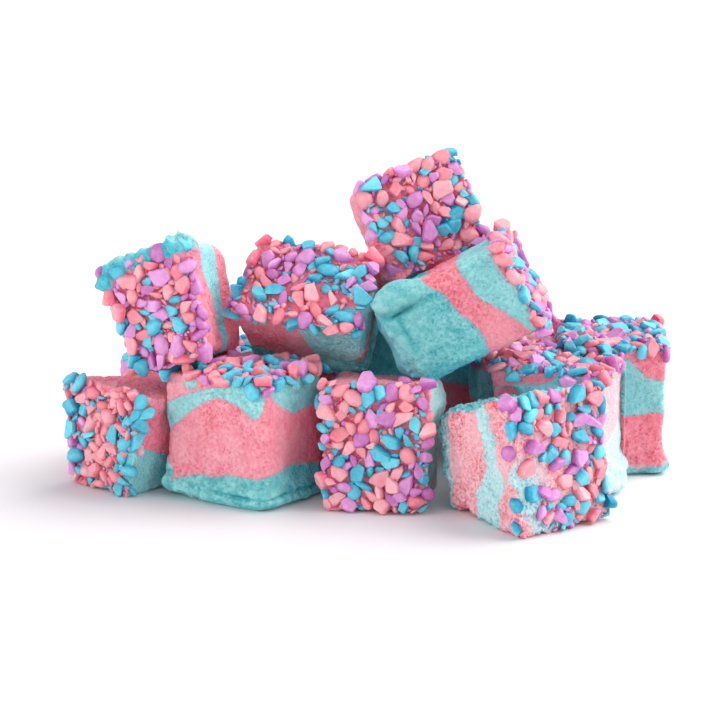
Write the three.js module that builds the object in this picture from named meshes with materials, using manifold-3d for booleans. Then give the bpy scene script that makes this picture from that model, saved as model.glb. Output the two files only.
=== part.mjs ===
// A heap of hand-cut marshmallow cubes. Each cube comes from a two-colour whipped slab:
// its local +Z face is the slab's top, coated with broken candy chips, its local -Z face is the
// slab's moulded skin, and the four faces between them are knife cuts.
// Millimetres, +Z up, the floor at z = 0, the origin under the middle of the heap's box.
import * as THREE from "three";
import { mergeVertices } from "three/addons/utils/BufferGeometryUtils.js";
import Module from "manifold-3d";

const wasm = await Module();
wasm.setup();

// ---------------------------------------------------------------- driving dimensions
const HEAP_MIDDLE = [2.6, 20.6]; // the middle of the heap's box, in the frame that the cubes are placed in
const GAP = 0.35; // clear space kept between two marshmallows, and under their chips
const CUT_EDGE = 1.7; // radius of the edges round the coated face
const WOBBLE = 1.1; // greatest depth of the hand-cut unevenness
const RIPPLE = [0.19, 0.17, 0.21, 0.16, 0.18, 0.2]; // how fast its waves turn, in radians a millimetre
const RIPPLE_SUM = 1.5; // height of the three waves together that counts as full depth
const SKIRT_HEIGHT = 0.78; // where the skirt stands out most, as a share of the skin's rounding
const SKIRT_REACH = 2.6; // how far up and down from there it fades
const NEAR = 50; // cubes whose middles are nearer than this can touch
const SHOWN_STEPS = 5; // surface steps along an edge of a cube that shows
const HIDDEN_STEPS = 4; // the same for a cube inside the heap

const CHIP_LONGEST = 6.2; // the first and largest chip of a coating
const CHIP_SHORTEST = 2.6; // the last and smallest
const CHIPS_IN_COATING = 110; // chips that a whole coating has
const CHIP_OVERHANG = 2.4; // how far the coating spreads past the face's edge
const FIRST_SPACING = 0.52; // least distance between the largest chips, as a share of their lengths' sum
const LAST_SPACING = 0.3; // the same between the smallest, which fill the gaps
const CHIP_TRIES = 14; // places tried for a chip before it is left out
const CHIP_WIDTH = [0.5, 0.85]; // least and greatest width, as a share of its length
const CHIP_THICKNESS = [0.34, 0.54]; // the same for its thickness
const CHIP_TAPER = 0.28; // how far a corner may be drawn in, as a share of the chip's size
const CHIP_RISE = 0.24; // height of a chip's middle above the face, as a share of its thickness
const CHIP_LEAN = 0.5; // greatest lean of a chip out of the face, in radians
const SHOWN_CHIPS = 20; // largest chips fused to a cube that shows
const HIDDEN_CHIPS = 6; // the same for a cube inside the heap

const PINK = 0xf59aa8;
const ROUGHNESS = 0.75;
const SLIVER = 0.1; // details finer than this are smoothed away after a cut or a join

// Each marshmallow: where its middle is, how it is turned, and its size between the cut faces,
// between the other two cut faces, and from skin to coating. The turn is the direction that the
// coated face leans towards (0 is the front), how far it leans from upright, and the turn about
// its own axis. flare widens it towards the coating, keystone widens it towards its local +Y,
// skirt is how far the moulded skin stands out round its foot, and round is the radius of the
// edges round the skin.
const MARSHMALLOWS = [
  { name: "mallow_left", at: [-54.2, 9.8, 12.7], turn: [-45, 89, -2.5],
    size: [23.6, 25.4, 25], flare: 0.04, keystone: 0.2, skirt: 0.6, round: 3.6, shown: true },
  { name: "mallow_front_left", at: [-27.9, -0.8, 15.4], turn: [0, 0, -32],
    size: [30.1, 25.5, 32.3], flare: 0.02, keystone: 0, skirt: 1.8, round: 4.8, shown: true },
  { name: "mallow_front_middle", at: [5.2, -4.2, 14], turn: [-8, 83, 1],
    size: [25.2, 30.5, 26.5], flare: 0.02, keystone: 0.05, skirt: 0.4, round: 3.6, shown: true },
  { name: "mallow_front_right", at: [37.3, -18.6, 13.9], turn: [37, 82.5, 1],
    size: [25, 28.2, 32.5], flare: 0.15, keystone: 0, skirt: 0.9, round: 4.5, shown: true },
  { name: "mallow_right", at: [48.5, 9.5, 15.1], turn: [0, 0, -16],
    size: [29, 27, 31.4], flare: 0, keystone: 0, skirt: 2, round: 4.5, shown: true },
  { name: "mallow_far_right", at: [63.4, 30.5, 16.1], turn: [0, 0, 0],
    size: [25.4, 31, 33], flare: 0, keystone: 0, skirt: 0.8, round: 3.2, shown: true },
  { name: "mallow_upper_left", at: [-44.5, 12.3, 43.4], turn: [-18, 80, 19],
    size: [21, 27, 28.5], flare: 0.02, keystone: 0.12, skirt: 0.8, round: 6, shown: true },
  { name: "mallow_upper_middle", at: [-11.2, 15, 42], turn: [-13, 45, -8],
    size: [30.4, 21.4, 24], flare: 0.06, keystone: -0.06, skirt: 0.6, round: 3.6, shown: true },
  { name: "mallow_upper_right", at: [23.5, 4.7, 43.8], turn: [86, 62, -3],
    size: [25, 24, 37], flare: 0, keystone: 0, skirt: 0.9, round: 7.5, shown: true },
  { name: "mallow_top", at: [14.3, 31.4, 60.9], turn: [8, 78, 20.5],
    size: [25.6, 27.4, 27], flare: 0.02, keystone: 0, skirt: 0.6, round: 4, shown: true },
  { name: "mallow_inner_left", at: [-18.5, 33.5, 13.8], turn: [0, 0, -6],
    size: [28, 26, 28.5], flare: 0, keystone: 0, skirt: 0.6, round: 3.6, shown: false },
  { name: "mallow_inner_right", at: [39.7, 39.6, 13.8], turn: [0, 0, 2],
    size: [22.5, 25, 28.5], flare: 0, keystone: 0, skirt: 0.6, round: 3.6, shown: false },
  { name: "mallow_back_left", at: [-46.5, 34, 12], turn: [0, 0, 6],
    size: [24, 24, 24.5], flare: 0, keystone: 0, skirt: 0.6, round: 3.6, shown: false },
  { name: "mallow_inner_middle", at: [10, 38.5, 28.5], turn: [90, 45, 0],
    size: [26, 26, 26], flare: 0, keystone: 0, skirt: 0.4, round: 3.6, shown: false },
  { name: "mallow_back_middle", at: [24, 66, 13.8], turn: [0, 0, -8],
    size: [26, 25.5, 28.5], flare: 0, keystone: 0, skirt: 0.6, round: 3.6, shown: false },
];

// ---------------------------------------------------------------- numbers and places

// A small seeded generator, so that every run draws the same numbers between 0 and 1.
function seededDraw(seed) {
  let state = seed;
  return () => {
    state = (state + 0x6d2b79f5) | 0;
    let mixed = Math.imul(state ^ (state >>> 15), 1 | state);
    mixed = (mixed + Math.imul(mixed ^ (mixed >>> 7), 61 | mixed)) ^ mixed;
    return ((mixed ^ (mixed >>> 14)) >>> 0) / 2 ** 32;
  };
}

function clampTo(value, limit) {
  return Math.min(Math.max(value, -limit), limit);
}

// The rotation that leans a cube over and turns it: about Z by the spin, X by the lean, Z by the yaw.
function turnOf(mallow) {
  const [yaw, lean, spin] = mallow.turn.map(THREE.MathUtils.degToRad);
  const up = new THREE.Vector3(0, 0, 1);
  const right = new THREE.Vector3(1, 0, 0);
  const turn = new THREE.Quaternion().setFromAxisAngle(up, yaw);
  turn.multiply(new THREE.Quaternion().setFromAxisAngle(right, lean));
  turn.multiply(new THREE.Quaternion().setFromAxisAngle(up, spin));
  return turn;
}

function placeOf(mallow) {
  const fullSize = new THREE.Vector3(1, 1, 1);
  return new THREE.Matrix4().compose(new THREE.Vector3(...mallow.at), turnOf(mallow), fullSize);
}

// ---------------------------------------------------------------- solids

// The closed solid inside a geometry.
function solidOf(geometry) {
  const bare = geometry.clone();
  bare.deleteAttribute("normal");
  bare.deleteAttribute("uv");
  const merged = mergeVertices(bare, 1e-4);
  const mesh = new wasm.Mesh({
    numProp: 3,
    vertProperties: new Float32Array(merged.attributes.position.array),
    triVerts: new Uint32Array(merged.index.array),
  });
  return new wasm.Manifold(mesh);
}

function geometryOf(solid) {
  const mesh = solid.getMesh();
  const geometry = new THREE.BufferGeometry();
  geometry.setAttribute("position", new THREE.BufferAttribute(mesh.vertProperties, 3));
  geometry.setIndex(new THREE.BufferAttribute(mesh.triVerts, 1));
  geometry.computeVertexNormals();
  return geometry;
}

function moved(solid, matrix) {
  return solid.transform(matrix.elements);
}

// The largest piece of a solid, without loose scraps.
function largestPiece(solid) {
  const pieces = solid.decompose();
  pieces.sort((a, b) => b.volume() - a.volume());
  return pieces[0];
}

// ---------------------------------------------------------------- the marshmallow itself

// Where a point of the unit cube's surface goes. The box's edges are rounded, by CUT_EDGE at the
// coating and more and more, up to round, towards the skin. Then it widens by flare and keystone,
// the skirt is pushed out round the foot, and three products of slow waves take up to WOBBLE off.
function surfacePoint(mallow, unit, spare) {
  const half = mallow.size.map((length) => length / 2 + spare);
  const depth = (1 - unit.z) / 2;
  const radius = CUT_EDGE + (mallow.round - CUT_EDGE) * depth * depth;
  const inner = new THREE.Vector3(
    clampTo(unit.x * half[0], half[0] - radius),
    clampTo(unit.y * half[1], half[1] - radius),
    clampTo(unit.z * half[2], half[2] - radius),
  );
  const out = new THREE.Vector3(unit.x * half[0], unit.y * half[1], unit.z * half[2]).sub(inner).normalize();
  const point = inner.addScaledVector(out, radius);
  const [x, y, z] = point.toArray();
  const wave = [x, y, y, z, z, x].map((along, i) => Math.sin(RIPPLE[i] * along + mallow.phases[i]));
  const unevenness = wave[0] * wave[1] + wave[2] * wave[3] + wave[4] * wave[5];
  point.addScaledVector(out, (-WOBBLE * (1 + clampTo(unevenness / RIPPLE_SUM, 1))) / 2);
  const height = point.z / half[2];
  const widening = 1 + mallow.flare * height;
  point.x *= widening + (mallow.keystone * point.y) / half[1];
  point.y *= widening;
  const aboveSkin = point.z + half[2];
  const foot = Math.exp(-(((aboveSkin - SKIRT_HEIGHT * mallow.round) / SKIRT_REACH) ** 2));
  const sideways = new THREE.Vector3(out.x, out.y, 0);
  point.addScaledVector(sideways, mallow.skirt * foot);
  return { point, out };
}

// Grid lines are drawn towards the edges, where the surface bends most.
function towardsEdge(s) {
  return s * (1.5 - 0.5 * s * s);
}

function bodySolid(mallow, spare) {
  const steps = mallow.shown ? SHOWN_STEPS : HIDDEN_STEPS;
  const geometry = new THREE.BoxGeometry(2, 2, 2, steps, steps, steps);
  const position = geometry.attributes.position;
  const unit = new THREE.Vector3();
  for (let i = 0; i < position.count; i++) {
    unit.fromBufferAttribute(position, i);
    unit.set(towardsEdge(unit.x), towardsEdge(unit.y), towardsEdge(unit.z));
    position.setXYZ(i, ...surfacePoint(mallow, unit, spare).point.toArray());
  }
  return solidOf(geometry);
}

// The cube as it lies: pressed in where an earlier cube already is, and cut flat at the floor.
function restingSolid(mallow, earlier) {
  const here = placeOf(mallow);
  const toLocal = here.clone().invert();
  let solid = bodySolid(mallow, 0);
  for (const other of earlier) {
    if (distanceBetween(mallow, other) < NEAR) {
      const place = toLocal.clone().multiply(placeOf(other));
      solid = solid.subtract(moved(bodySolid(other, GAP), place));
    }
  }
  const ground = new THREE.BoxGeometry(2 * NEAR, 2 * NEAR, NEAR);
  ground.translate(mallow.at[0], mallow.at[1], -NEAR / 2);
  return largestPiece(solid.simplify(SLIVER).subtract(moved(solidOf(ground), toLocal)));
}

function distanceBetween(mallow, other) {
  return new THREE.Vector3(...mallow.at).distanceTo(new THREE.Vector3(...other.at));
}

// ---------------------------------------------------------------- the coating

// The point of the coated face's surface under a place (u, v). A place past the face's edge lies
// that far down the side.
function underPlace(mallow, u, v) {
  const [halfX, halfY, halfZ] = mallow.size.map((length) => length / 2);
  const past = Math.max(Math.abs(u) - halfX, Math.abs(v) - halfY, 0);
  const unit = new THREE.Vector3(clampTo(u / halfX, 1), clampTo(v / halfY, 1), 1 - past / halfZ);
  return surfacePoint(mallow, unit, 0);
}

// How far a point in the heap is outside a cube's plain box, or below 0 inside it.
function distanceOutside(mallow, point) {
  const local = point.clone().applyMatrix4(mallow.toLocal);
  const past = mallow.size.map((length, axis) => Math.abs(local.getComponent(axis)) - length / 2);
  return Math.max(...past);
}

// The eight corners of a chip: a small box with every corner pushed about, laid along the face.
function chipCorners(mallow, length, draw, place) {
  const width = length * THREE.MathUtils.lerp(...CHIP_WIDTH, draw());
  const thickness = length * THREE.MathUtils.lerp(...CHIP_THICKNESS, draw());
  const angle = 2 * Math.PI * draw();
  const lean = CHIP_LEAN * (2 * draw() - 1);
  const tip = CHIP_LEAN * (2 * draw() - 1);
  const frame = new THREE.Quaternion().setFromUnitVectors(new THREE.Vector3(0, 0, 1), place.out);
  frame.multiply(new THREE.Quaternion().setFromEuler(new THREE.Euler(lean, tip, angle, "XYZ")));
  const middle = place.point.clone().addScaledVector(place.out, thickness * CHIP_RISE);
  const corners = [];
  for (let i = 0; i < 8; i++) {
    const corner = new THREE.Vector3(
      (length / 2) * (i & 1 ? 1 : -1) * (1 - CHIP_TAPER * draw()),
      (width / 2) * (i & 2 ? 1 : -1) * (1 - CHIP_TAPER * draw()),
      (thickness / 2) * (i & 4 ? 1 : -1) * (1 - CHIP_TAPER * draw()),
    );
    corners.push(corner.applyQuaternion(frame).add(middle));
  }
  return { middle, length, corners };
}

// A chip fits where every corner is clear of the floor and of all other cubes and their chips.
function chipFits(chip, mallow, neighbours) {
  for (const corner of chip.corners) {
    const point = corner.clone().applyMatrix4(mallow.toHeap);
    if (point.z < GAP) {
      return false;
    }
    if (neighbours.some((other) => distanceOutside(other, point) < GAP)) {
      return false;
    }
  }
  const middle = chip.middle.clone().applyMatrix4(mallow.toHeap);
  return neighbours.every((other) =>
    other.chips.every((far) => far.inHeap.distanceTo(middle) > (far.length + chip.length) / 2),
  );
}

// Chips are thrown at the coated face, the largest first, and one stays where it is far enough
// from those before it.
function throwChips(mallow, neighbours, draw) {
  const kept = [];
  const reach = [mallow.size[0] / 2 + CHIP_OVERHANG, mallow.size[1] / 2 + CHIP_OVERHANG];
  for (let i = 0; i < CHIPS_IN_COATING; i++) {
    const share = Math.sqrt(i / (CHIPS_IN_COATING - 1));
    const length = CHIP_LONGEST + (CHIP_SHORTEST - CHIP_LONGEST) * share;
    const spacing = FIRST_SPACING + (LAST_SPACING - FIRST_SPACING) * share;
    for (let attempt = 0; attempt < CHIP_TRIES; attempt++) {
      const place = underPlace(mallow, reach[0] * (2 * draw() - 1), reach[1] * (2 * draw() - 1));
      const free = kept.every((chip) => chip.on.distanceTo(place.point) > spacing * (chip.length + length));
      if (!free) {
        continue;
      }
      const chip = chipCorners(mallow, length, draw, place);
      if (chipFits(chip, mallow, neighbours)) {
        chip.on = place.point;
        chip.inHeap = chip.middle.clone().applyMatrix4(mallow.toHeap);
        kept.push(chip);
        break;
      }
    }
  }
  return kept;
}

// A unit box whose corners are moved to the chip's eight.
function chipSolid(chip) {
  const geometry = new THREE.BoxGeometry(1, 1, 1);
  const position = geometry.attributes.position;
  for (let i = 0; i < position.count; i++) {
    const right = position.getX(i) > 0 ? 1 : 0;
    const far = position.getY(i) > 0 ? 2 : 0;
    const high = position.getZ(i) > 0 ? 4 : 0;
    position.setXYZ(i, ...chip.corners[right + far + high].toArray());
  }
  return solidOf(geometry);
}

// ---------------------------------------------------------------- the heap

function marshmallowMesh(mallow, earlier) {
  const fused = mallow.chips.slice(0, mallow.shown ? SHOWN_CHIPS : HIDDEN_CHIPS);
  const body = restingSolid(mallow, earlier);
  const whole = wasm.Manifold.union([body, ...fused.map(chipSolid)]);
  const material = new THREE.MeshStandardMaterial({ color: PINK, roughness: ROUGHNESS, metalness: 0 });
  const mesh = new THREE.Mesh(geometryOf(largestPiece(whole.simplify(SLIVER))), material);
  mesh.name = mallow.name;
  mesh.position.set(...mallow.at);
  mesh.quaternion.copy(turnOf(mallow));
  return mesh;
}

const heap = new THREE.Group();
heap.position.set(-HEAP_MIDDLE[0], -HEAP_MIDDLE[1], 0);

const draws = MARSHMALLOWS.map((mallow, index) => seededDraw(index + 1));
MARSHMALLOWS.forEach((mallow, index) => {
  mallow.phases = Array.from({ length: 6 }, () => 2 * Math.PI * draws[index]());
  mallow.toHeap = placeOf(mallow);
  mallow.toLocal = mallow.toHeap.clone().invert();
  mallow.chips = [];
});
MARSHMALLOWS.forEach((mallow, index) => {
  const others = MARSHMALLOWS.filter((other) => other !== mallow);
  const neighbours = others.filter((other) => distanceBetween(mallow, other) < NEAR);
  mallow.chips = throwChips(mallow, neighbours, draws[index]);
  heap.add(marshmallowMesh(mallow, MARSHMALLOWS.slice(0, index)));
});

export default heap;
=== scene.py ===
# Looks for a heap of hand-cut marshmallow cubes. Metres, +Z up, the heap's front towards -Y.
import math

import bpy
import numpy as np
from mathutils import Matrix, Vector


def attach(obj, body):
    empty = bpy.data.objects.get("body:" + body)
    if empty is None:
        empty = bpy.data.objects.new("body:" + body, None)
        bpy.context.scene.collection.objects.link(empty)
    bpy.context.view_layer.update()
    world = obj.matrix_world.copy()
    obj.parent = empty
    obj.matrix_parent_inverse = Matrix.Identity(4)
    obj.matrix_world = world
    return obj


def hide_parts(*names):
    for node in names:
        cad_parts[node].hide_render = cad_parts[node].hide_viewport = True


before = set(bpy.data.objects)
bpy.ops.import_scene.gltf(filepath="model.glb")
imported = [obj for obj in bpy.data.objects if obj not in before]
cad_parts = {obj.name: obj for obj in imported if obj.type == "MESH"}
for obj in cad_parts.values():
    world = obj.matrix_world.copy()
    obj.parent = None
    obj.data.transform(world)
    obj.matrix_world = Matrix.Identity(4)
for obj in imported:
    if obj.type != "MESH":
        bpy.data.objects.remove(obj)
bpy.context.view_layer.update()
print("frame loaded")

mm = 0.001


def addObject(name, data):
    # An object of its own name at the origin, in the scene.
    thing = bpy.data.objects.new(name, data)
    bpy.context.collection.objects.link(thing)
    return thing


# The camera looks at the heap's middle from the front, a little from above.
cameraView = {
    "target": (-2.6 * mm, -20.6 * mm, 33 * mm),
    "elevation": 13.0,      # degrees above the floor
    "distance": 0.7,
    "halfWidth": 86.75 * mm,   # half of what the picture's width shows at the target
    "sensor": 36.0,
    "nearest": 0.01,
}


def addCamera():
    # The eye stands at target + distance * (0, -cos e, sin e), and the lens is what fits halfWidth.
    tilt = math.radians(cameraView["elevation"])
    target = Vector(cameraView["target"])
    back = Vector((0.0, -math.cos(tilt), math.sin(tilt)))
    data = bpy.data.cameras.new("camera")
    data.sensor_width = cameraView["sensor"]
    data.lens = cameraView["sensor"] * cameraView["distance"] / (2 * cameraView["halfWidth"])
    data.clip_start = cameraView["nearest"]
    camera = addObject("camera", data)
    camera.location = target + back * cameraView["distance"]
    camera.rotation_euler = back.to_track_quat("Z", "Y").to_euler()
    bpy.context.scene.camera = camera


addCamera()

# The cubes have the same places, turns and sizes as their solids, in millimetres and degrees.
heapMiddle = np.array([2.6, 20.6, 0.0])   # the middle of the heap's box in the frame of "at"
cubeShape = {
    "gap": 0.35,          # clear space between two cubes
    "cutEdge": 1.7,       # radius of the edges round the coated face
    "wobble": 1.1,        # greatest depth of the slow unevenness
    "ripple": (0.19, 0.17, 0.21, 0.16, 0.18, 0.2),   # how fast its waves turn, radians a millimetre
    "rippleSum": 1.5,     # the sum of their products that counts as full
    "skirtHeight": 0.78,  # where the skirt stands out most, as a share of the skin's rounding
    "skirtReach": 2.6,
    "near": 50.0,         # cubes whose middles are nearer than this can touch
    "pressedEdge": 2.4,   # radius of the edges of the hollow that one cube presses into another
    "crowd": 0.2,         # how much closer the surface steps are along the edges
    "shownSteps": 80,     # surface steps along an edge
    "hiddenSteps": 56,
}

# edges are where the colours change, as [place round the cube, height] pairs. A place is 0 in the
# middle of local +X, 2 in the middle of +Y, 4 of -X and 6 of -Y, with the corners at 1, 3, 5 and 7.
# A height is -1 at the skin and 1 at the coating. From the skin up: teal, pink, teal, pink.
plainEdges = [
    [[0, -0.78], [2, -0.7], [4, -0.8], [6, -0.72]],
    [[0, -0.1], [1, 0.1], [3, -0.05], [5, 0.15], [7, 0.0]],
    [[0, 0.55], [2, 0.4], [3.5, 0.6], [5, 0.7], [6.5, 0.45]],
]
# What a cube is like where its own entry says nothing else. Lengths are in millimetres.
plainMarshmallow = {
    "flare": 0.0,                    # how much wider it is at the coating than in the middle
    "keystone": 0.0,                 # how much wider it is on its local +Y side
    "skirt": 0.6,                    # how far its foot stands out
    "round": 3.6,                    # radius of the edges round the skin
    "edges": plainEdges,
    "mix": (0.48, 0.28, 0.24),       # shares of pink, blue and purple chips
    "coverage": 1.0,                 # how full the coating is
    "spread": 2.4,                   # how far small chips spread past the coated face
    "bare": [],                      # places without small chips, as (u, v, radius)
    "lumps": [], "spots": [],
    "coarse": 1.0,                   # how open the crumb is
    "rich": 0.0,                     # how much deeper its colours are
    "paintedLight": 0.0, "paintedLightWay": None,    # how much painted light its faces get, and which way its lit faces look
    "footDepth": 0.5,                # how deep the teal of the foot is
    "bubbly": 0.0,                   # how much the foot bubbles
    "lip": (0.0, 0.0),               # how strong the foot's rolled lip is, and from which local x
    "shadeBetweenChips": 0.5,                  # how much painted shade lies over the coated face between its chips
    "shadeFromCubes": 1.0,                 # how much painted shade the cubes around it lay on it
    "hidden": False,
}


def lump(at, reach, height, rough=0.0):
    # A bump, or a dent where the height is below 0, that fades over reach along each local axis.
    return {"at": np.array(at), "reach": np.array(reach), "height": height, "rough": rough}


def spot(at, reach, depth=0.0, teal=True):
    # A spot of teal, depth deep in colour, or of pink.
    return {"at": np.array(at), "reach": np.array(reach), "depth": depth, "teal": teal}


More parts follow.
